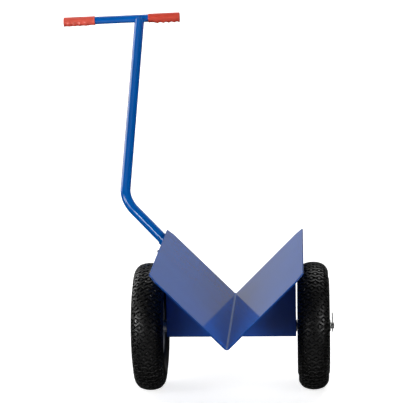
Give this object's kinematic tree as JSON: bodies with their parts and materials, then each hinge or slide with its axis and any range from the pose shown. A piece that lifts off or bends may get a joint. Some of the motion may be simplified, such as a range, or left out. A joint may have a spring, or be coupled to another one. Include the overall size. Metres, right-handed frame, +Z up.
{
  "type": "pipe dolly",
  "caption": "Hand dolly for carrying pipe: a folded V cradle on a box beam and axle, pneumatic wheels either side, and a bent T handle that plugs in under one flank.",
  "frame": {"origin": "on the ground, under the middle of the axle", "axes": "+X to the right along the axle, +Y to the back where the handle is, +Z up"},
  "size_m": [0.9396, 1.3126, 1.1312],
  "materials": {
    "cradle_paint": "blue powder coat, satin gloss",
    "beam_paint": "blue powder coat, satin gloss",
    "handle_paint": "blue powder coat, gloss",
    "zinc_steel": "bright zinc plate",
    "black_steel": "black oxide on steel",
    "bearing_steel": "ground steel",
    "tyre_rubber": "moulded black rubber",
    "tube_rubber": "smooth black rubber",
    "rim_paint": "grey paint over pressed steel",
    "grip_red": "soft moulded red grip",
    "black_plastic": "moulded black plastic"
  },
  "bodies": {
    "chassis": {"v_trough": "cradle_paint", "beam_channel": "beam_paint", "beam_end_left": "beam_paint", "beam_end_right": "beam_paint", "axle_tube": "beam_paint", "axle": "zinc_steel", "inner_washers": "zinc_steel", "outer_washers": "zinc_steel", "r_clips": "zinc_steel", "handle_socket": "handle_paint", "socket_welds": "beam_paint", "socket_end_plate": "beam_paint", "clamp_boss": "beam_paint"},
    "left_wheel": {"left_tyre": "tyre_rubber", "left_inner_tube": "tube_rubber", "left_rim_outer": "rim_paint", "left_rim_inner": "rim_paint", "left_rim_bolts": "zinc_steel", "left_rim_nuts": "zinc_steel", "left_hub": "zinc_steel", "left_roller_cage": "black_plastic", "left_rollers": "bearing_steel", "left_hub_seals": "black_plastic", "left_valve_stem": "tube_rubber", "left_valve_cap": "black_plastic"},
    "right_wheel": {"right_tyre": "tyre_rubber", "right_inner_tube": "tube_rubber", "right_rim_outer": "rim_paint", "right_rim_inner": "rim_paint", "right_rim_bolts": "zinc_steel", "right_rim_nuts": "zinc_steel", "right_hub": "zinc_steel", "right_roller_cage": "black_plastic", "right_rollers": "bearing_steel", "right_hub_seals": "black_plastic", "right_valve_stem": "tube_rubber", "right_valve_cap": "black_plastic"},
    "handle": {"handle_stem": "handle_paint", "t_bar": "handle_paint", "grip_left": "grip_red", "grip_right": "grip_red", "stem_plug": "black_plastic"},
    "clamp_screw": {"clamp_screw": "black_steel"}
  },
  "joints": [
    {"name": "left_wheel_spin", "type": "hinge", "parent": "chassis", "child": "left_wheel", "pos_m": [-0.256, 0, 0.2], "axis": [1, 0, 0], "continuous": true},
    {"name": "right_wheel_spin", "type": "hinge", "parent": "chassis", "child": "right_wheel", "pos_m": [0.256, 0, 0.2], "axis": [1, 0, 0], "continuous": true},
    {"name": "handle_pull", "type": "slide", "parent": "chassis", "child": "handle", "axis": [-0.6972, 0.1668, 0.6972], "range_m": [0, 0.115]},
    {"name": "clamp_screw_turn", "type": "hinge", "parent": "chassis", "child": "clamp_screw", "pos_m": [-0.24443, 0.30783, 0.37988], "axis": [-0.7071, 0, -0.7071], "continuous": true}
  ]
}
